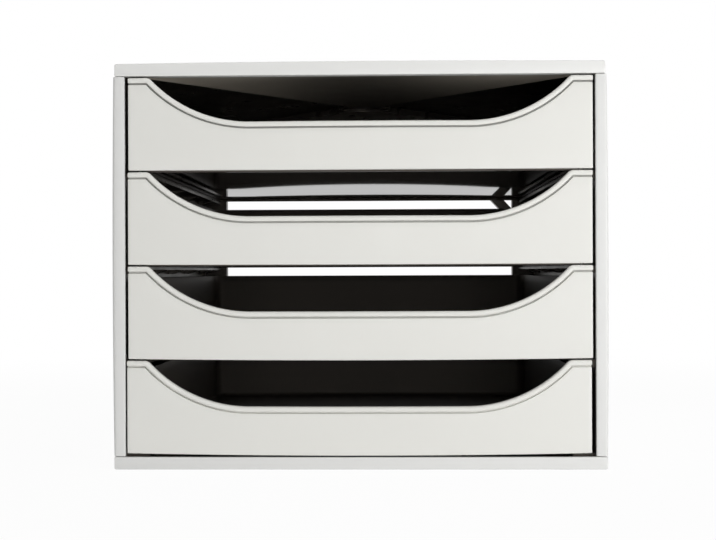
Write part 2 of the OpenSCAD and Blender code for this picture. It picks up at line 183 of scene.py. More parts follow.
def make_piece(name, shell, smooth_angle=35.0, shade=None):
    """A mesh object in metres with outward faces and smooth shading below an angle. Where
    shade is given, it becomes an attribute with one number for each point."""
    mesh = bpy.data.meshes.new(name)
    mesh.from_pydata((np.concatenate(shell.points) * MM).tolist(), [], shell.faces)
    if shade is not None:
        mesh.attributes.new("shade", "FLOAT", "POINT").data.foreach_set("value", shade)
    mesh.validate()
    mesh.update()
    bm = bmesh.new()
    bm.from_mesh(mesh)
    bmesh.ops.remove_doubles(bm, verts=bm.verts, dist=1e-7)
    bmesh.ops.recalc_face_normals(bm, faces=bm.faces)
    limit = math.radians(smooth_angle)
    for edge in bm.edges:
        edge.smooth = len(edge.link_faces) != 2 or edge.calc_face_angle(0.0) < limit
    for face in bm.faces:
        face.smooth = True
    bm.to_mesh(mesh)
    bm.free()
    piece = bpy.data.objects.new(name, mesh)
    bpy.context.scene.collection.objects.link(piece)
    return piece


def bar_along_y(shell, outline, y0, y1, radius, middle=1):
    """An outline in x and z carried along y, with both ends rounded."""
    normals = outline_normals(outline)
    places, insets = end_stations(y0, y1, radius, middle=middle)
    flat = outline[None] - normals[None] * insets[:, None, None]
    y = np.broadcast_to(places[:, None], flat.shape[:2])
    shell.add_rings(np.stack([flat[..., 0], y, flat[..., 1]], -1))


def finish_piece(piece, material, slot, body, *nodes):
    """Gives the piece its material, its body and the solids it stands for. The slot is not used."""
    piece.data.materials.append(material)
    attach(piece, body)
    if nodes:
        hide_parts(*nodes)
    print(piece.name, len(piece.data.vertices), "points")


# %% [markdown]
# ## Plastics
# The casing and the fronts are a light grey plastic with a very fine spark-eroded
# grain. The inner frame and the trays are black. The photograph mirrors the open back in
# the undersides of the trays, so the faces of a tray that look down are polished and its
# other faces are satin. Wide soft noise shifts each colour a little, a middle noise the
# roughness, and a fine noise drives the bump.


# %% Small node helpers
def math_node(tree, operation, *values):
    """A Math node whose inputs are numbers or other nodes' outputs."""
    node = tree.nodes.new("ShaderNodeMath")
    node.operation = operation
    for socket, value in zip(node.inputs, values):
        if isinstance(value, (int, float)):
            socket.default_value = value
        else:
            tree.links.new(value, socket)
    return node.outputs[0]


def ramp_node(tree, value, low, high, out_low, out_high, kind="SMOOTHSTEP"):
    """A Map Range from low..high to out_low..out_high, smooth unless kind is LINEAR."""
    node = tree.nodes.new("ShaderNodeMapRange")
    node.interpolation_type = kind
    for socket, number in zip(list(node.inputs)[1:5], (low, high, out_low, out_high)):
        socket.default_value = number
    tree.links.new(value, node.inputs["Value"])
    return node.outputs["Result"]


def coordinates(tree, kind="Object"):
    """The place on the surface as a vector, and its x, y and z apart."""
    place = tree.nodes.new("ShaderNodeTexCoord").outputs[kind]
    parts = tree.nodes.new("ShaderNodeSeparateXYZ")
    tree.links.new(place, parts.inputs[0])
    return place, parts.outputs


# %% Material helpers
CLOUD_SCALE, PATCH_SCALE = 9.0, 55.0
SMOOTHER, ROUGHER = 0.88, 1.15
GRAIN_HEIGHT = 0.00012


def plastic(name, colour, roughness, grain, grain_size, tone, specular=0.5, inside=None, sheen=(1, 1, 1)):
    """Principled plastic. Wide noise mixes the base colour with the same colour times
    tone. A middle noise moves the roughness between its shares SMOOTHER and ROUGHER. A
    fine noise of scale grain_size drives a bump of strength grain. The mirrored light
    has the level specular and the tint sheen. Where inside is given, it is the least
    roughness of all faces but those that look down."""
    material = bpy.data.materials.new(name)
    material.use_nodes = True
    tree = material.node_tree
    nodes, links = tree.nodes, tree.links
    shader = nodes["Principled BSDF"]
    shader.inputs["Specular IOR Level"].default_value = specular
    shader.inputs["Specular Tint"].default_value = (*sheen, 1)
    place = nodes.new("ShaderNodeTexCoord").outputs["Object"]

    def noise(scale, detail):
        node = nodes.new("ShaderNodeTexNoise")
        node.inputs["Scale"].default_value = scale
        node.inputs["Detail"].default_value = detail
        links.new(place, node.inputs["Vector"])
        return node.outputs["Fac"]

    mix = nodes.new("ShaderNodeMix")
    mix.data_type = "RGBA"
    mix.inputs["A"].default_value = (*colour, 1)
    mix.inputs["B"].default_value = (*[c * tone for c in colour], 1)
    links.new(noise(CLOUD_SCALE, 4.0), mix.inputs["Factor"])
    links.new(mix.outputs["Result"], shader.inputs["Base Color"])

    patches = noise(PATCH_SCALE, 6.0)
    rough = ramp_node(tree, patches, 0.3, 0.7, roughness * SMOOTHER, roughness * ROUGHER, "LINEAR")
    if inside is not None:
        facing = nodes.new("ShaderNodeSeparateXYZ")
        links.new(nodes.new("ShaderNodeNewGeometry").outputs["Normal"], facing.inputs[0])
        least = ramp_node(tree, facing.outputs[2], -0.8, -0.4, 0.0, inside, "LINEAR")
        rough = math_node(tree, "MAXIMUM", rough, least)
    links.new(rough, shader.inputs["Roughness"])

    bump = nodes.new("ShaderNodeBump")
    bump.inputs["Strength"].default_value = grain
    bump.inputs["Distance"].default_value = GRAIN_HEIGHT
    links.new(noise(grain_size, 3.0), bump.inputs["Height"])
    links.new(bump.outputs["Normal"], shader.inputs["Normal"])
    return material


def scale_colour(material, factor):
    """Multiplies the base colour by a number that varies over the surface."""
    tree = material.node_tree
    colour = tree.nodes["Principled BSDF"].inputs["Base Color"]
    scaled = tree.nodes.new("ShaderNodeVectorMath")
    scaled.operation = "SCALE"
    tree.links.new(colour.links[0].from_socket, scaled.inputs[0])
    tree.links.new(factor, scaled.inputs["Scale"])
    tree.links.new(scaled.outputs["Vector"], colour)


# %% The seven finishes
WARM = (1.0, 0.9, 0.8)
FINE_GRAIN = {"grain": 0.22, "grain_size": 1500.0, "tone": 0.975}
# Painted light: the top panel takes a lighter copy of the casing's grey, which stands for the stronger
# light from above.
top_painted_light_plastic = plastic("top_painted_light_plastic", (0.805, 0.805, 0.785), 0.42, **FINE_GRAIN)
casing_plastic = plastic("casing_plastic", (0.74, 0.74, 0.725), 0.42, **FINE_GRAIN)
front_plastic = plastic("front_plastic", (0.775, 0.77, 0.73), 0.40, **FINE_GRAIN)
roof_plastic = plastic(
    "roof_plastic", (0.38, 0.345, 0.29), 0.5,
    grain=0.15, grain_size=900.0, tone=0.9,
)
frame_plastic = plastic(
    "frame_plastic", (0.08, 0.071, 0.062), 0.30,
    grain=0.10, grain_size=420.0, tone=0.8, specular=0.4, sheen=WARM,
)
tray_plastic = plastic(
    "tray_plastic", (0.072, 0.062, 0.053), 0.035,
    grain=0.0, grain_size=260.0, tone=0.8, inside=0.5, sheen=WARM,
)
foot_plastic = plastic(
    "foot_rubber", (0.022, 0.022, 0.022), 0.72,
    grain=0.5, grain_size=900.0, tone=0.7, specular=0.3,
)

# %% [markdown]
# ## Sizes
# These follow from the part's source, in millimetres, but LOW_BOW is the scene's own: the
# photograph shows a little less bow than the solids have. The heights of the drawers are
# read from the solids, so a front always lands on its tray.

# %% Sizes in millimetres
FRONT_HALF, FRONT_H, FRONT_T = 132.9, 53.1, 2.5
SOLID_BOW, LOW_BOW = 1.0, 0.7
CUT_FLAT, CUT_DEPTH, CUT_R, EAR_R = 125.3, 25.8, 78.0, 4.5
PLATE_BACK = -170.5
CASE_Y0, CASE_Y1, BAND_T = -173.4, 174.0, 2.5
TRAY_Y0, TRAY_Y1 = -170.4, 163.0
TRAY_TOP_X, TRAY_DRAFT = 128.0, 1.5


def drawer_z(drawer):
    """Height of the ends of a front's lower edge: the solid's lowest point plus its bow."""
    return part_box(f"drawer_{drawer}_front")[0].z / MM + SOLID_BOW


cut_centre = np.array([CUT_FLAT / 2, FRONT_H - CUT_DEPTH + CUT_R])
reach = math.sqrt((CUT_R + EAR_R) ** 2 - (cut_centre[1] - FRONT_H + EAR_R) ** 2)
ear_centre = np.array([cut_centre[0] + reach, FRONT_H - EAR_R])
sweep = 90 + math.degrees(math.atan2(ear_centre[1] - cut_centre[1], ear_centre[0] - cut_centre[0]))
print("cut-out: ears at", ear_centre.round(2), "sweep", round(sweep, 2))


def upper_edge(inset, end_x, shift=0.0):
    """The front's upper edge from its right end to its left end, lowered by inset:
    a straight run, a small arc at the ear, the big arc, the floor, and the mirror of it.
    All but the ends moves sideways by shift."""
    level, bottom = FRONT_H - inset, FRONT_H - CUT_DEPTH - inset
    run = np.stack([np.linspace(end_x, ear_centre[0], 5), np.full(5, level)], 1)[:-1]
    ear = arc(ear_centre, EAR_R - inset, 90, 90 + sweep, 13)[:-1]
    side = arc(cut_centre, CUT_R + inset, sweep - 90, -90, 40)
    floor = np.stack([np.linspace(CUT_FLAT / 2, 0, 9)[1:], np.full(8, bottom)], 1)
    half = np.concatenate([run, ear, side, floor])
    whole = np.concatenate([half, (half * [-1, 1])[::-1][1:]])
    whole[1:-1, 0] += shift
    return whole


def low_edge(x):
    """Height of the bowed lower edge: a parabola that hangs down by LOW_BOW at the middle."""
    return -LOW_BOW * (1 - (x / FRONT_HALF) ** 2)


# %% [markdown]
# ## Drawer fronts
# A front is a thin plate with a rounded lip that stands out along its whole upper edge,
# and a fine groove where lip and plate meet. One section is carried along the edge from
# end to end. The lip follows the arcs, and the plate below it hangs straight down.

# %% Drawer fronts
LIP_H, LIP_PROUD = 2.99, 3.5
HEEL_R, NOSE_R, FLANK_R = 0.6, 1.5, 0.84
HEEL_STEPS, NOSE_STEPS, FLANK_STEPS = 5, 9, 7
GROOVE = [
    [3.02, 2.3], [3.05, 1.7], [3.1, 1.1], [3.22, 0.75], [3.5, 0.65],
    [3.78, 0.75], [3.9, 1.1], [3.95, 1.7], [4.0, 2.3], [4.1, 2.46], [4.33, 2.5],
]
GROOVE_START = HEEL_STEPS + NOSE_STEPS + FLANK_STEPS
GROOVE_INSIDE = slice(GROOVE_START + 1, GROOVE_START + 8)
LOW_FRONT_R, LOW_BACK_R, END_R = 0.6, 0.35, 0.45

# The clips behind a front: from and to in x, from and to in height over the front's
# lower edge, length behind the plate, radius of the corners and of the ends.
CLIPS = {
    "flange": ((131.0, 132.8), (1.0, 49.1), 3.0, 0.3, 0.25),
    "tongue": ((128.95, 130.55), (8.0, 40.0), 14.0, 0.6, 0.5),
}
CLIP_ROOT = 1.2


def lip_section():
    """Section over the lip as inset and forward values, from the plate's back over the
    heel, the nose and the flank, down into the groove and up to the plate's face."""
    return np.concatenate([
        arc((HEEL_R, HEEL_R), HEEL_R, 270, 180, HEEL_STEPS),
        arc((NOSE_R, LIP_PROUD - NOSE_R), NOSE_R, 180, 90, NOSE_STEPS),
        arc((LIP_H - FLANK_R, LIP_PROUD - FLANK_R), FLANK_R, 90, 0, FLANK_STEPS),
        GROOVE,
    ])


def front_rings(end_x, shift):
    """All rings of a front. A ring runs up the back, over the lip and down the face."""
    section = lip_section()
    edges = np.stack([upper_edge(s, end_x, shift) for s in section[:, 0]], 1)
    rim_x = upper_edge(0.0, end_x, shift)[:, 0]
    foot = edges[:, -1]
    low = low_edge(rim_x)
    plate = np.linspace(0, 1, 7)[1:-1]
    face_x = foot[:, :1] + (rim_x[:, None] - foot[:, :1]) * plate
    face_z = foot[:, 1:] + (low[:, None] + LOW_FRONT_R - foot[:, 1:]) * plate
    under = np.concatenate([
        arc((LOW_FRONT_R, FRONT_T - LOW_FRONT_R), LOW_FRONT_R, 90, 180, 5),
        arc((LOW_BACK_R, LOW_BACK_R), LOW_BACK_R, 180, 270, 4),
    ])
    x = np.concatenate([edges[..., 0], face_x, np.repeat(rim_x[:, None], len(under), 1)], 1)
    z = np.concatenate([edges[..., 1], face_z, low[:, None] + under[:, 0]], 1)
    forward = np.concatenate([section[:, 1], np.full(len(plate), FRONT_T), under[:, 1]])
    return x, z, np.broadcast_to(forward, x.shape)


def front_shell(base_z, rise, shift, play):
    """The whole front: the carried section, its middle lifted by a parabola of rise,
    rounded ends, and the clips behind it. The cut-out lies shift to one side, and the
    whole front lies play to one side. Also gives 1 for points in the groove, else 0."""
    x, z, forward = front_rings(FRONT_HALF - END_R, shift)
    z = z + rise * (1 - (x / FRONT_HALF) ** 2)
    outline = np.stack([-forward[0], z[0]], 1)
    after = np.roll(outline, -1, 0)
    area = np.sum(outline[:, 0] * after[:, 1] - after[:, 0] * outline[:, 1])
    normals = outline_normals(outline) * np.sign(area)
    t = np.linspace(0, math.pi / 2, 6)[:-1]
    drawn = outline[None] - normals[None] * (END_R * (1 - np.sin(t)))[:, None, None]
    end_x = np.broadcast_to((FRONT_HALF - END_R * (1 - np.cos(t)))[:, None], drawn.shape[:2])
    right = np.stack([end_x, PLATE_BACK + drawn[..., 0], drawn[..., 1] + base_z], -1)
    middle = np.stack([x, PLATE_BACK - forward, z + base_z], -1)
    left = (right * [-1, 1, 1])[::-1]
    rings = np.concatenate([right, middle, left])
    shell = Shell()
    shell.add_rings(rings)
    in_groove = np.zeros(rings.shape[:2])
    in_groove[:, GROOVE_INSIDE] = 1.0

    clips = Shell()
    for (x0, x1), (z0, z1), length, corner, end in CLIPS.values():
        outline = rounded_box_outline((x0, base_z + z0), (x1, base_z + z1), corner)
        bar_along_y(clips, outline, PLATE_BACK - CLIP_ROOT, PLATE_BACK + length, end)
    clips.mirror_x()
    shell.add(np.concatenate(clips.points), clips.faces)
    shell.move([play, 0, 0])
    return shell, np.concatenate([in_groove.ravel(), np.zeros(clips.count)])


# Moulded plates warp a little and sit with a little play, each in its own way: lift of
# the middle, sideways place of the cut-out and of the front, in millimetres.
WARP = {1: (0.65, -0.3, 0.3), 2: (0.4, -0.3, 0.0), 3: (-0.3, -0.3, 0.0), 4: (-0.75, -0.35, -0.75)}
# The photograph shows a darker groove on the upper drawers. Painted shade: share of the colour
# that is taken away inside the groove.
GROOVE_SHADE = {1: 0.5, 2: 0.35, 3: 0.25, 4: 0.05}

# Painted shade: the fronts' colour is darkened inside the groove by the shade attribute.
shade = front_plastic.node_tree.nodes.new("ShaderNodeAttribute")
shade.attribute_name = "shade"
scale_colour(front_plastic, math_node(front_plastic.node_tree, "SUBTRACT", 1.0, shade.outputs["Fac"]))
for drawer in DRAWERS:
    shell, in_groove = front_shell(drawer_z(drawer), *WARP[drawer])
    piece = make_piece(f"front_{drawer}", shell, 40.0, in_groove * GROOVE_SHADE[drawer])
    finish_piece(piece, front_plastic, "front_light", f"drawer_{drawer}", f"drawer_{drawer}_front")

# %% [markdown]
# ## Trays
# A tray is a drafted tub with rounded corners, a thicker rim and a wall that dips behind
# the front's cut-out. It is one closed surface: rings that follow the plan, from the
# middle of the underside over skirt, rim and inner wall to the middle of the floor. Two
# small lugs stand out at the back of its sides.

# %% Tray sizes in millimetres
TRAY_Z0, TRAY_H, SKIRT, FLOOR_T, WALL, RIM_OUT, RIM_H = -0.9, 47.4, 2.1, 1.3, 2.0, 0.6, 2.2
TRAY_Z1 = TRAY_Z0 + TRAY_H
FLOOR_TOP = TRAY_Z0 + SKIRT + FLOOR_T
FRONT_CORNER_R, REAR_CORNER_R, FILLET_R, NOTCH_INSET = 5.5, 9.5, 3.0, 1.2
SIDE_POINTS = (24, 20, 24, 110)
LIFT_HALF_X, LIFT_REAR, LIFT_MORE, LIFT_Y0, LIFT_Y1, FLOOR_MID_Y = 100.0, 0.35, 1.15, 20.0, 165.0, -4.0
FRONT_WALL_END, SQUEEZE_FROM = TRAY_Y0 + WALL + TRAY_DRAFT + 1.5, FLOOR_TOP + 4.0
LUG_Y, LUG_L, LUG_H, LUG_OUT = 148.0, 8.0, 6.0, 4.3


# %% Trays
def plan_directions():
    """Base points and unit normals of the tray's plan at its top, counterclockwise from
    the right front corner, with many points along the front wall for the cut-out."""
    corners = [
        (TRAY_TOP_X, TRAY_Y0, FRONT_CORNER_R, -90), (TRAY_TOP_X, TRAY_Y1, REAR_CORNER_R, 0),
        (-TRAY_TOP_X, TRAY_Y1, REAR_CORNER_R, 90), (-TRAY_TOP_X, TRAY_Y0, FRONT_CORNER_R, 180),
    ]
    centres = [np.array([x - math.copysign(r, x), y - math.copysign(r, y)]) for x, y, r, _ in corners]
    points, normals = [], []
    for k, (_, _, radius, start) in enumerate(corners):
        turn = arc((0, 0), 1, start, start + 90, 8)
        points.append(turn * radius + centres[k])
        normals.append(turn)
        following = (k + 1) % len(corners)
        begin = points[-1][-1]
        end = centres[following] + corners[following][2] * turn[-1]
        share = np.linspace(0, 1, SIDE_POINTS[k] + 2)[1:-1, None]
        points.append(begin + (end - begin) * share)
        normals.append(np.repeat(turn[-1:], SIDE_POINTS[k], 0))
    return np.concatenate(points), np.concatenate(normals)


PLAN, PLAN_NORMALS = plan_directions()


def floor_lift(x, y):
    """Rise of the floor between the runners: a parabola over x, nothing at the sides,
    that is full over the front half and falls along y by a second parabola."""
    w = np.clip((y - LIFT_Y0) / (LIFT_Y1 - LIFT_Y0), 0, 1)
    return (LIFT_REAR + LIFT_MORE * (1 - w ** 2)) * np.clip(1 - (x / LIFT_HALF_X) ** 2, 0, 1)


def notch_height(x):
    """Height of the cut-out over x, a little below the front's own edge: the flat floor,
    then the big arc, then the ear, then the full height."""
    edge = upper_edge(NOTCH_INSET, FRONT_HALF)
    order = np.argsort(edge[:, 0])
    return np.interp(x, edge[order, 0], edge[order, 1])


def to_middle(ring, height, count=14):
    """Rings that shrink from a ring to the middle and follow the lift of the floor."""
    share = np.linspace(1, 0, count + 1)[1:, None, None]
    middle = np.array([0, FLOOR_MID_Y])
    flat = middle + (ring[None, :, :2] - middle) * share
    return np.concatenate([flat, height + floor_lift(flat[..., :1], flat[..., 1:])], -1)


def tray_shell(base_z):
    """The tub: profile points are offsets from the plan's outer line and heights. On the
    front wall every height above the floor is squeezed to stay under the cut-out."""
    z0, z1 = TRAY_Z0, TRAY_Z1
    rim_z = z1 - RIM_H
    outer = [
        [-WALL + 0.2, z0 + 0.2], [-WALL + 0.5, z0], [-0.4, z0], [-0.1, z0 + 0.12], [0, z0 + 0.4],
        [0, z0 + 8], [0, z0 + 25], [0, rim_z - 0.25], [0.12, rim_z - 0.04], [RIM_OUT - 0.2, rim_z],
        [RIM_OUT, rim_z + 0.2], [RIM_OUT, z1 - 0.55], [RIM_OUT - 0.18, z1 - 0.15], [RIM_OUT - 0.6, z1],
        [-WALL + 0.6, z1], [-WALL + 0.16, z1 - 0.18], [-WALL, z1 - 0.6], [-WALL, z1 - 6], [-WALL, 25],
    ]
    fillet = arc((-WALL - FILLET_R, FLOOR_TOP + FILLET_R), FILLET_R, 0, -90, 8)
    offset, height = np.concatenate([outer, fillet]).T
    lean = TRAY_DRAFT * (height - z1) / TRAY_H
    ring = PLAN[None] + PLAN_NORMALS[None] * (offset + lean)[:, None, None]
    front = np.clip(FRONT_WALL_END - ring[..., 1], 0, 1)
    x, y = ring[..., 0], np.maximum(ring[..., 1], TRAY_Y0)
    z = np.broadcast_to(height[:, None], x.shape).copy()
    top = np.minimum(notch_height(x), z1)
    squeezed = SQUEEZE_FROM + (z - SQUEEZE_FROM) * (top - SQUEEZE_FROM) / (z1 - SQUEEZE_FROM)
    z = np.where((z > SQUEEZE_FROM) & (front > 0), z + (squeezed - z) * front, z)
    inner = len(outer)
    near_floor = np.clip((FLOOR_TOP + FILLET_R - z[inner:]) / FILLET_R, 0, 1)
    z[inner:] += floor_lift(x, y)[inner:] * near_floor
    rings = np.stack([x, y, z], -1)

    under_z = TRAY_Z0 + SKIRT
    skirt_in = np.stack([rings[0], rings[0]])
    skirt_in[:, :, 2] = np.array([[under_z - 0.3], [under_z]]) + floor_lift(*rings[0, :, :2].T)
    skirt_in[1, :, :2] *= 0.998
    under = to_middle(skirt_in[1], under_z)[::-1]
    floor = to_middle(rings[-1], FLOOR_TOP)
    whole = np.concatenate([under, skirt_in[::-1], rings, floor])
    whole[..., 2] += base_z
    shell = Shell()
    shell.add(whole, grid_faces(*whole.shape[:2]))

    lugs = Shell()
    lug_z = base_z + rim_z - LUG_H
    lug = rounded_box_outline((TRAY_TOP_X - 1, lug_z), (TRAY_TOP_X + LUG_OUT, lug_z + LUG_H), 0.5)
    bar_along_y(lugs, lug, LUG_Y, LUG_Y + LUG_L, 0.4)
    lugs.mirror_x()
    shell.add(np.concatenate(lugs.points), lugs.faces)
    return shell


for drawer in DRAWERS:
    piece = make_piece(f"tray_{drawer}", tray_shell(drawer_z(drawer)))
    finish_piece(piece, tray_plastic, "tray_black", f"drawer_{drawer}", f"drawer_{drawer}_tray")

# %% [markdown]
# ## Outer panels
# Top and bottom are shallow pans whose front wall is the narrow band over and under the
# drawers. Behind the top's band lies a thin sill, the pale line over the roof. The sides
# swell a little. Each is an outline carried from front to back. The radius of the long
# edges and the width of the bottom follow the photograph instead of the source.

# %% Top and bottom panels
TOP_HALF, BASE_HALF, SKIRT_IN, EDGE_R, ROLL = 140.4, 141.1, 138.4, 1.0, 0.5
OPEN_Z0, OPEN_Z1, CASE_H, SEAM = 7.8, 226.0, 234.0, 0.15
CROWN, BASE_SAG, CAP_R, TOP_SKIN, BASE_SKIN = 0.75, -0.25, 0.5, 1.5, 2.2
SILL_DEPTH, SILL_T, OPEN_HALF = 7.0, 0.9, 134.7
UNDER_Z = 0.4


def crowned(half, z, rise, count=25):
    """A shallow arch from +half to -half over height z: a parabola of that rise."""
    t = np.linspace(1, -1, count)
    return np.stack([t * half, z + rise * (1 - t ** 2)], 1)


def cap_outline(half, low, crown):
    """Outer line of a panel from its right lower edge over the corner radius and the
    arch to its left lower edge. Both lower edges are rolled in a little."""
    end = CASE_H - crown
    x = half - EDGE_R
    right = [half, low] + np.array([[-ROLL, 0], [-0.15, 0.12], [0, ROLL]])
    return np.concatenate([
        right,
        arc((x, end - EDGE_R), EDGE_R, 0, 90, 8)[:-1],
        crowned(x, end, crown),
        arc((-x, end - EDGE_R), EDGE_R, 90, 180, 8)[1:],
        (right * [-1, 1])[::-1],
    ])


def cap_shell(half, low, skin, crown, sag, flip=False):
    """Band: the filled outline over the band's thickness, its long inner edge sagging by
    a parabola. Pan: the outline less the inner line, from the band to the back. Flipped,
    both hang down instead."""
    outer = cap_outline(half, low, crown)
    hem = (crowned(half - ROLL, low, -sag) * [-1, 1])[1:-1]
    inner = crowned(-SKIRT_IN, CASE_H - crown - skin, crown)
    inner = np.concatenate([[[-SKIRT_IN, low]], inner, [[SKIRT_IN, low]]])
    if flip:
        outer, hem, inner = [(line * [1, -1])[::-1] for line in (outer, hem, inner)]
    shell = Shell()
    bar_along_y(shell, np.concatenate([outer, hem]), CASE_Y0, CASE_Y0 + BAND_T, CAP_R)
    bar_along_y(shell, np.concatenate([outer, inner]), CASE_Y0 + BAND_T / 2, CASE_Y1, CAP_R, 8)
    return shell


top_low = OPEN_Z1 + SEAM
top_shell = cap_shell(TOP_HALF, top_low, TOP_SKIN, CROWN, 0.0)
sill = rounded_box_outline((-OPEN_HALF, top_low), (OPEN_HALF, top_low + SILL_T), 0.2)
bar_along_y(top_shell, sill, CASE_Y0 + BAND_T / 2, CASE_Y0 + SILL_DEPTH, 0.3)
top = make_piece("top_cover", top_shell)
finish_piece(top, top_painted_light_plastic, "casing_light", "casing", "top_panel")

# The bottom is built hanging from z = 0 and lifted, so that its underside is at UNDER_Z.
lift = CASE_H + UNDER_Z
base_shell = cap_shell(BASE_HALF, lift - (OPEN_Z0 - SEAM), BASE_SKIN, 0.0, BASE_SAG, flip=True)
base_shell.move([0, 0, lift])
base = make_piece("bottom_cover", base_shell)
finish_piece(base, casing_plastic, "casing_light", "casing", "bottom_panel")

# %% Side panels
SIDE_END, SIDE_CROWN, SIDE_IN, SIDE_R, SIDE_NOSE_R = 141.25, 0.75, 139.6, 1.6, 0.6


def side_shell():
    """Plan outline of a thin side with a front band, carried up. The outer points move
    out by a parabola of the height, and both ends are rounded."""
    band_back = CASE_Y0 + BAND_T
    plan = np.concatenate([
        arc((OPEN_HALF + SIDE_NOSE_R, CASE_Y0 + SIDE_NOSE_R), SIDE_NOSE_R, 180, 270, 5),
        arc((SIDE_END - SIDE_R, CASE_Y0 + SIDE_R), SIDE_R, 270, 360, 9),
        np.stack([np.full(11, SIDE_END), np.linspace(CASE_Y0 + 6, CASE_Y1 - 0.6, 11)], 1),
        [[SIDE_END - 0.2, CASE_Y1 - 0.15], [SIDE_END - 0.6, CASE_Y1], [SIDE_IN, CASE_Y1]],
        [[SIDE_IN, band_back + 0.5], [SIDE_IN - 0.5, band_back], [OPEN_HALF, band_back]],
    ])
    normals = outline_normals(plan)
    z, inset = end_stations(OPEN_Z0 + SEAM, OPEN_Z1 - SEAM, 0.5, middle=16)
    flat = plan[None] - normals[None] * inset[:, None, None]
    middle = (OPEN_Z0 + OPEN_Z1) / 2
    swell = SIDE_CROWN * (1 - ((z - middle) / (OPEN_Z1 - middle)) ** 2)
    outer = np.clip((plan[:, 0] - SIDE_END + SIDE_R + 2) / (SIDE_R + 2), 0, 1)
    outer[plan[:, 0] < SIDE_IN + 0.4] = 0
    flat[..., 0] += swell[:, None] * outer[None]
    height = np.broadcast_to(z[:, None, None], (*flat.shape[:2], 1))
    shell = Shell()
    shell.add_rings(np.concatenate([flat, height], -1))
    return shell


for name, side in (("right_side", 1), ("left_side", -1)):
    shell = side_shell()
    shell.points = [p * [side, 1, 1] for p in shell.points]
    piece = make_piece(name, shell)
    finish_piece(piece, casing_plastic, "casing_light", "casing", f"{name}_panel")

# %% [markdown]
# ## Feet
# Four rubber discs are sunk in the bottom panel. Each is a profile turned round an
# upright axis, with a shallow dish in its underside.

# %% Feet
FOOT_R, FOOT_T, FOOT_STEPS = 9.0, 1.8, 48
foot_profile = [
    (0, 0.22), (5.2, 0.22), (5.9, 0.12), (6.3, 0.0), (8.5, 0.0),
    (8.85, 0.1), (FOOT_R, 0.4), (FOOT_R, FOOT_T), (0, FOOT_T),
]
for name in ("front_left_foot", "front_right_foot", "rear_left_foot", "rear_right_foot"):
    low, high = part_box(name)
    centre = (np.array(low) + np.array(high)) / 2 / MM
    turn = arc((0, 0), 1, 0, 360, FOOT_STEPS + 1)[:-1]
    rings = [np.column_stack([turn * r + centre[:2], np.full(FOOT_STEPS, z)]) for r, z in foot_profile]
    shell = Shell()
    shell.add(np.array(rings), grid_faces(len(rings), FOOT_STEPS))
    piece = make_piece(f"pad_{name}", shell)
    finish_piece(piece, foot_plastic, "foot_rubber", "casing", name)

# %% [markdown]
# ## Sloping web under the roof
# In front of the roof's diagonal ribs lies a wedge whose underside falls from the plate's
# front edge to the ribs' lower edges. Along x its rear edge follows the ribs and the
# front of the hub. The photograph shows it getting lighter to both sides. No lamp gave
# that, so a ramp over the distance from the middle plane scales its colour: painted
# light, lighter to both sides.

# %% Roof web
ROOF_T, ROOF_RIB_X, HUB_R = 1.0, 134.8, 18.0
WEB_WIDTH, WEB_BEFORE_RIB, WEB_IN_HUB, WEB_IN_PLATE = 0.985, 1.2, 0.5, 0.3
WEB_STEPS = 15


def roof_web():
    """The wedge between the plate and a surface that falls evenly along y, from nothing
    at the front to the ribs' height at the ribs."""
    low, high = (np.array(corner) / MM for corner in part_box("ceiling_plate"))
    middle, reach = (low[1] + high[1]) / 2, (high[1] - low[1]) / 2
    plate_z, rib_z = high[2] - ROOF_T, low[2]
    x = np.linspace(-ROOF_RIB_X, ROOF_RIB_X, 81) * WEB_WIDTH
    rear = middle - reach * np.abs(x) / ROOF_RIB_X - WEB_BEFORE_RIB
    inside = np.abs(x) < HUB_R
    hub_front = middle - np.sqrt(HUB_R ** 2 - x[inside] ** 2)
    rear[inside] = np.minimum(rear[inside], hub_front + WEB_IN_HUB)
    t = np.linspace(0, 1, WEB_STEPS)
    y = low[1] + (rear[:, None] - low[1]) * t
    z = np.broadcast_to(plate_z - (plate_z - rib_z) * t, y.shape)
    under = np.stack([np.repeat(x[:, None], WEB_STEPS, 1), y, z], -1)
    upper = under * [1, 1, 0] + [0, 0, plate_z + WEB_IN_PLATE]
    shell = Shell()
    shell.add_rings(np.concatenate([under, upper[:, ::-1]], 1))
    return shell


# Painted light: the web's colour is scaled from 0.55 in the middle to 1.9 towards both sides.
_, parts = coordinates(roof_plastic.node_tree)
aside = math_node(roof_plastic.node_tree, "ABSOLUTE", parts["X"])
scale_colour(roof_plastic, ramp_node(roof_plastic.node_tree, aside, 0.005, 0.1, 0.55, 1.9))
web = make_piece("roof_web", roof_web(), 60.0)
finish_piece(web, roof_plastic, "roof_grey", "casing")

# %% [markdown]
# ## Carried-over solids
# The inner plates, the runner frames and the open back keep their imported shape. They
# only need the black plastic.

# %% Black solids
for name in ("ceiling_plate", "base_plate", "left_runner_frame", "right_runner_frame", "back_frame"):
    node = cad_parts[name]
    node.data.materials.clear()
    node.data.materials.append(frame_plastic)

# %% [markdown]
# ## Floor, light and background
# The photograph is a cut-out on white, lit softly with a little more light from the
# right. A pale floor carries the shadow, and it glows: almost fully to the camera, so
# that only a faint shadow stays, behind the unit in reflections, and by a smaller share
# on the object itself, which lights it a little from below.

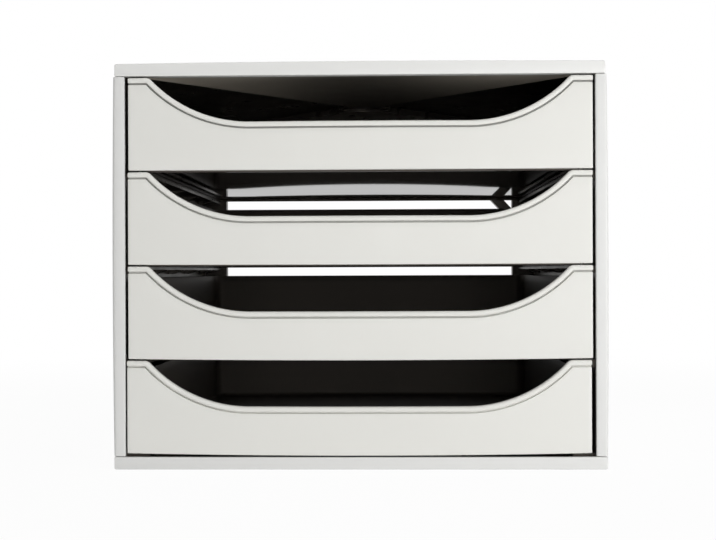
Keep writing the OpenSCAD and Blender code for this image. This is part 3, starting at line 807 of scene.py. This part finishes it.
# %% Floor
MIRRORED_WHITE, BOUNCE_LEVEL, BOUNCE_SHARE = 0.72, 1.3, 0.3
FLOOR_HALF = 6
corners = [(-FLOOR_HALF, -FLOOR_HALF, 0), (FLOOR_HALF, -FLOOR_HALF, 0)]
corners += [(FLOOR_HALF, FLOOR_HALF, 0), (-FLOOR_HALF, FLOOR_HALF, 0)]
floor_mesh = bpy.data.meshes.new("floor")
floor_mesh.from_pydata(corners, [], [(0, 1, 2, 3)])
floor = bpy.data.objects.new("floor", floor_mesh)
bpy.context.scene.collection.objects.link(floor)
floor_material = bpy.data.materials.new("floor_paper")
floor_material.use_nodes = True
tree = floor_material.node_tree
shader = tree.nodes["Principled BSDF"]
shader.inputs["Base Color"].default_value = (0.93, 0.93, 0.93, 1)
shader.inputs["Roughness"].default_value = 0.9
path = tree.nodes.new("ShaderNodeLightPath").outputs
place, parts = coordinates(tree)
distance = tree.nodes.new("ShaderNodeVectorMath")
distance.operation = "LENGTH"
tree.links.new(place, distance.inputs[0])

glow = tree.nodes.new("ShaderNodeEmission")
white = math_node(tree, "MAXIMUM", path["Is Camera Ray"], MIRRORED_WHITE)
bounce = math_node(tree, "MULTIPLY", path["Is Diffuse Ray"], BOUNCE_LEVEL)
tree.links.new(math_node(tree, "MAXIMUM", white, bounce), glow.inputs["Strength"])
far = ramp_node(tree, distance.outputs["Value"], 0.3, 1.0, 0.95, 1.0)
behind = ramp_node(tree, parts["Y"], 0.0, 0.6, 0.0, 1.0)
seen_share = math_node(tree, "MULTIPLY", path["Is Camera Ray"], far)
mirrored_share = math_node(tree, "MULTIPLY", path["Is Glossy Ray"], behind)
bounce_share = math_node(tree, "MULTIPLY", path["Is Diffuse Ray"], BOUNCE_SHARE)
share = math_node(tree, "MAXIMUM", seen_share, mirrored_share)
share = math_node(tree, "MAXIMUM", share, bounce_share)
blend = tree.nodes.new("ShaderNodeMixShader")
tree.links.new(share, blend.inputs["Fac"])
tree.links.new(shader.outputs["BSDF"], blend.inputs[1])
tree.links.new(glow.outputs["Emission"], blend.inputs[2])
tree.links.new(blend.outputs["Shader"], tree.nodes["Material Output"].inputs["Surface"])
floor_mesh.materials.append(floor_material)

# %% [markdown]
# The world is plain white to the camera. In reflections it is pale behind the unit and
# dark in front of it, as in a studio where the camera stands in the dark, so the trays'
# upright walls stay black and their undersides mirror the bright open back. It lights
# the object more from the right than from the left, and most from behind.

# %% World
AMBIENT_LEFT, AMBIENT_RIGHT, AMBIENT_BACK, DARK_FRONT = 0.08, 0.36, 0.5, 0.2
world = bpy.data.worlds.new("studio")
bpy.context.scene.world = world
world.use_nodes = True
tree = world.node_tree
path = tree.nodes.new("ShaderNodeLightPath").outputs
_, parts = coordinates(tree, "Generated")
mirrored = ramp_node(tree, parts["Y"], -0.5, 0.3, DARK_FRONT, MIRRORED_WHITE)
mirrored = math_node(tree, "MULTIPLY", mirrored, path["Is Glossy Ray"])
plain = math_node(tree, "MAXIMUM", path["Is Camera Ray"], path["Is Transmission Ray"])
other = math_node(tree, "SUBTRACT", 1.0, math_node(tree, "MAXIMUM", plain, path["Is Glossy Ray"]))
ambient = ramp_node(tree, parts["X"], -1.0, 1.0, AMBIENT_LEFT, AMBIENT_RIGHT)
ambient = math_node(tree, "ADD", ambient, ramp_node(tree, parts["Y"], 0.0, 0.8, 0.0, AMBIENT_BACK))
other = math_node(tree, "MULTIPLY", other, ambient)
level = math_node(tree, "ADD", math_node(tree, "MAXIMUM", plain, mirrored), other)
background = tree.nodes["Background"]
tree.links.new(level, background.inputs["Strength"])
background.inputs["Color"].default_value = (1, 1, 1, 1)

# %% [markdown]
# Three lamps: one on the right at the camera's distance, a large one above, and one far
# behind the camera, which adds a little even light on the fronts.


# %% Lamps
def softbox(name, place, target, size, power):
    """A square area lamp at a place in metres, turned to face a target."""
    data = bpy.data.lights.new(name, "AREA")
    data.shape = "SQUARE"
    data.size = size
    data.energy = power
    lamp = bpy.data.objects.new(name, data)
    aim = Vector(target) - Vector(place)
    lamp.rotation_mode = "QUATERNION"
    lamp.rotation_quaternion = aim.to_track_quat("-Z", "Y")
    lamp.location = place
    bpy.context.scene.collection.objects.link(lamp)


softbox("right_box", (0.68, -0.93, 0.04), (0.05, 0, 0.05), 0.6, 7.3)
softbox("top_box", (0.15, -0.7, 1.9), (0, 0, 0.1), 1.4, 10.0)
softbox("front_box", (0.02, -2.6, 0.1), (0, 0, 0.1), 0.7, 10.0)

# %% Colour handling
bpy.context.scene.view_settings.view_transform = "Standard"
